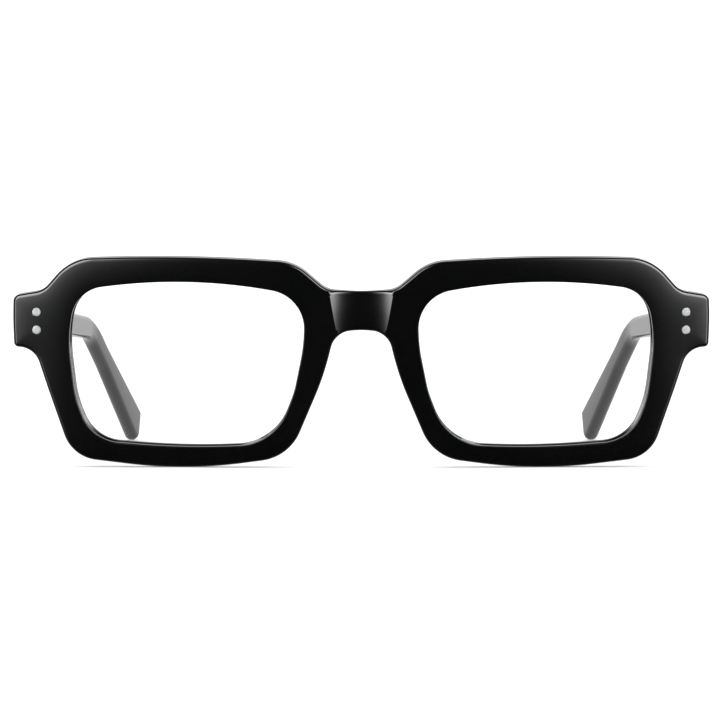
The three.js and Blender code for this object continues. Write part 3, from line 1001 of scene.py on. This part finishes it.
def rivet_material():
    """Satin silver rivet ends with a fine tumbled grain."""
    g = material_graph("satin_silver")
    grain = g.noise(5200, 3)
    cloud = g.noise(1400, 2)
    tone = g.spread(g.maths("ADD", grain, cloud), 0, 1, 0.7, 1.3)
    colour = g.blend(tone, (0.25, 0.255, 0.26, 1), (0.40, 0.405, 0.41, 1))
    rough = g.spread(grain, 0.34, 0.55)
    inputs = {
        "Base Color": colour,
        "Metallic": 0.35,
        "Roughness": rough,
        "Normal": g.bump(grain, 0.25, 0.00004),
    }
    return g.finish(g.add("ShaderNodeBsdfPrincipled", inputs).outputs[0])


def hinge_material():
    """Nickel silver, cloudy in tone, with a drawn satin grain along its height."""
    g = material_graph("nickel_silver")
    grain = g.noise(900, 5, (6, 6, 0.5))
    cloud = g.noise(500, 2)
    colour = g.blend(g.spread(cloud, 0, 1), (0.58, 0.57, 0.54, 1), (0.74, 0.73, 0.70, 1))
    rough = g.spread(grain, 0.2, 0.38)
    inputs = {
        "Base Color": colour,
        "Metallic": 1.0,
        "Roughness": rough,
        "Normal": g.bump(grain, 0.18, 0.00002),
    }
    return g.finish(g.add("ShaderNodeBsdfPrincipled", inputs).outputs[0])


def wire_material():
    """Drawn wire: long fine lines along the temple."""
    g = material_graph("drawn_wire")
    lines = g.noise(2600, 4, (1, 0.03, 1))
    colour = g.blend(g.spread(lines, 0, 1), (0.45, 0.45, 0.47, 1), (0.66, 0.66, 0.68, 1))
    inputs = {
        "Base Color": colour,
        "Metallic": 1.0,
        "Roughness": g.spread(lines, 0.25, 0.42),
        "Normal": g.bump(lines, 0.2, 0.00002),
    }
    return g.finish(g.add("ShaderNodeBsdfPrincipled", inputs).outputs[0])


def lens_material():
    """Clear coated lens: light passes, and a faint cool coating glints at low angles."""
    g = material_graph("coated_lens")
    facing = g.add("ShaderNodeFresnel", {"IOR": 1.5}).outputs[0]
    film = g.spread(g.noise(55, 2), 0.09, 0.15)
    share = g.maths("MULTIPLY", facing, film)
    clear = g.add("ShaderNodeBsdfTransparent", {"Color": (0.995, 0.996, 0.996, 1)}).outputs[0]
    smear = g.spread(g.noise(240, 5, (1, 3, 1)), 0.01, 0.05)
    coating = {"Color": (0.80, 0.92, 0.92, 1), "Roughness": smear}
    glint = g.add("ShaderNodeBsdfGlossy", coating).outputs[0]
    mix = g.add("ShaderNodeMixShader", {0: share, 1: clear, 2: glint})
    return g.finish(mix.outputs[0])


# ---------------------------------------------------------------- assembly
def dress(obj, material, slot, body, *nodes):
    obj.data.materials.clear()
    obj.data.materials.append(material)
    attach(obj, body)
    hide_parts(*nodes)


def both_sides(obj, material, slot, body, node):
    """Dresses a left-hand piece and its mirror image; {side} stands for left or right."""
    twin = mirror_image(obj, obj.name.replace("left", "right"))
    for piece, side in ((obj, "left"), (twin, "right")):
        dress(piece, material, slot, body.format(side=side), node.format(side=side))


def build_glasses():
    acetate = acetate_material()
    silver = rivet_material()
    nickel = hinge_material()
    root = "front_body"
    arm = "{side}_temple_body"
    dress(build_front(), acetate, "acetate", root, "front")
    both_sides(build_lens(), lens_material(), "lens", root, "{side}_lens")
    both_sides(build_nose_pad(), acetate, "acetate", root, "{side}_nose_pad")
    both_sides(build_front_hinge(), nickel, "hinge", root, "{side}_front_hinge")
    both_sides(build_screw(), nickel, "hinge", root, "{side}_hinge_screw")
    both_sides(build_temple(), acetate, "acetate", arm, "{side}_temple")
    both_sides(build_core_wire(), wire_material(), "core", arm, "{side}_core_wire")
    both_sides(build_temple_hinge(), nickel, "hinge", arm, "{side}_temple_hinge")
    for place, sign in (("lower", -1), ("upper", 1)):
        node = "{side}_front_rivet_" + place
        height = sign * FRONT_RIVET["spacing"] / 2
        rivet = build_front_rivet("left_front_rivet_" + place + "_metal", height)
        both_sides(rivet, silver, "rivet", root, node)
        node = "{side}_temple_rivet_" + place
        height = sign * TEMPLE_RIVET["spacing"] / 2
        rivet = build_temple_rivet("left_temple_rivet_" + place + "_metal", height)
        both_sides(rivet, silver, "rivet", arm, node)


# ---------------------------------------------------------------- studio
FRONT_Y = PLATE_TO_ROW.translation.y


def show(obj, in_reflections):
    """Shows a studio surface only in reflections, or everywhere but in them."""
    obj.visible_camera = not in_reflections
    obj.visible_diffuse = not in_reflections
    obj.visible_transmission = not in_reflections
    obj.visible_shadow = not in_reflections
    obj.visible_glossy = in_reflections


def build_floor():
    """A plain white floor, which the glossy black doesn't mirror."""
    half = FLOOR_HALF
    verts = [(-half, -half, 0), (half, -half, 0), (half, half, 0), (-half, half, 0)]
    floor = new_object("floor", verts, [(0, 1, 2, 3)])
    g = material_graph("white_floor")
    paper = g.spread(g.noise(30, 3), 0.925, 0.935)
    white = g.blend(paper, (0, 0, 0, 1), (1, 1, 1, 1))
    matt = g.add("ShaderNodeBsdfDiffuse", {"Color": white}).outputs[0]
    floor.data.materials.append(g.finish(matt))
    show(floor, in_reflections=False)


def build_screen():
    """A lit screen close in front, for reflections only: black in the middle and low down,
    growing white towards both sides."""
    y = FRONT_Y - SCREEN["distance"]
    x, low, high = SCREEN["half_width"], SCREEN["low"], SCREEN["high"]
    verts = [(-x, y, low), (x, y, low), (x, y, high), (-x, y, high)]
    screen = new_object("screen", verts, [(0, 1, 2, 3)])
    g = material_graph("lit_screen")
    spot = g.add("ShaderNodeSeparateXYZ", {0: g.place()}).outputs
    across = g.maths("MULTIPLY", g.maths("ABSOLUTE", spot[0]), GLOW["side"])
    up = g.maths("MULTIPLY", g.maths("MINIMUM", spot[2], GLOW["rise"]), GLOW["up"])
    glow = g.maths("EXPONENT", g.maths("ADD", g.maths("ADD", across, up), GLOW["start"]))
    white = g.maths("ADD", g.spread(spot[2], 0, GLOW["top"], *GLOW_FADE), GLOW["white"])
    levelled = g.maths("DIVIDE", glow, g.maths("ADD", g.maths("DIVIDE", glow, white), 1.0))
    light = g.add("ShaderNodeEmission", {"Strength": levelled}).outputs[0]
    screen.data.materials.append(g.finish(light))
    show(screen, in_reflections=True)


def ramp(g, value, start, end, high=1.0):
    """Nothing up to the start, then a soft rise to high at the end."""
    inputs = {0: value, 1: start, 2: end, 3: 0.0, 4: high}
    return g.add("ShaderNodeMapRange", inputs, interpolation_type="SMOOTHSTEP").outputs[0]


def soft_box(g, direction, centre, inner, outer, strength):
    """A round soft light: full inside the inner angle, gone outside the outer one."""
    inputs = {0: direction, 1: Vector(centre).normalized()}
    dot = g.add("ShaderNodeVectorMath", inputs, operation="DOT_PRODUCT").outputs["Value"]
    low, high = math.cos(math.radians(outer)), math.cos(math.radians(inner))
    return ramp(g, dot, low, high, strength)


def build_world():
    """White all round for the eye and for soft light; a studio of soft boxes for reflections."""
    world = bpy.data.worlds.new("studio")
    bpy.context.scene.world = world
    g = Graph(world)
    incoming = g.add("ShaderNodeNewGeometry").outputs["Incoming"]
    away = g.add("ShaderNodeVectorMath", {0: incoming, 1: (-1, -1, -1)}, operation="MULTIPLY")
    split = g.add("ShaderNodeSeparateXYZ", {0: away.outputs[0]}).outputs
    across = g.maths("ABSOLUTE", split[0])
    folded = g.add("ShaderNodeCombineXYZ", {0: across, 1: split[1], 2: split[2]}).outputs[0]
    backward = ramp(g, split[1], 0.0, 0.3, WORLD["table"])
    downward = ramp(g, g.maths("MULTIPLY", split[2], -1.0), -0.1, 0.1)
    lights = [
        g.maths("MULTIPLY", backward, downward),  # the pale table behind the frame
        soft_box(g, folded, (0, 1, 0.0), 16, 40, 0.85),  # the backdrop
        soft_box(g, folded, (1, 0.1, 0.35), 12, 48, 0.7),  # the side fill
    ]
    total = WORLD["least"]
    for light in lights:
        total = g.maths("MAXIMUM", light, total)
    glossy = g.add("ShaderNodeLightPath").outputs["Is Glossy Ray"]
    strength = g.add("ShaderNodeMix", {0: glossy, 2: WORLD["plain"], 3: total}).outputs[0]
    background = g.add("ShaderNodeBackground", {"Color": (1, 1, 1, 1), "Strength": strength})
    g.add("ShaderNodeOutputWorld", {"Surface": background.outputs[0]})


def build_camera():
    """A long lens, straight in front and a little above the frame's middle."""
    camera = bpy.data.objects.new("camera", bpy.data.cameras.new("camera"))
    bpy.context.scene.collection.objects.link(camera)
    camera.location = (0, FRONT_Y - CAMERA["distance"], CAMERA["height"])
    target = Vector((0, FRONT_Y, CAMERA["aim"]))
    camera.rotation_euler = (target - camera.location).to_track_quat("-Z", "Y").to_euler()
    camera.data.lens = CAMERA["lens"]
    camera.data.shift_x, camera.data.shift_y = CAMERA_SHIFT
    camera.data.clip_start = 0.01
    camera.data.clip_end = 50
    bpy.context.scene.camera = camera


def build_studio():
    build_floor()
    build_screen()
    build_world()
    build_camera()
    bpy.context.scene.view_settings.view_transform = "Standard"


build_glasses()
build_studio()
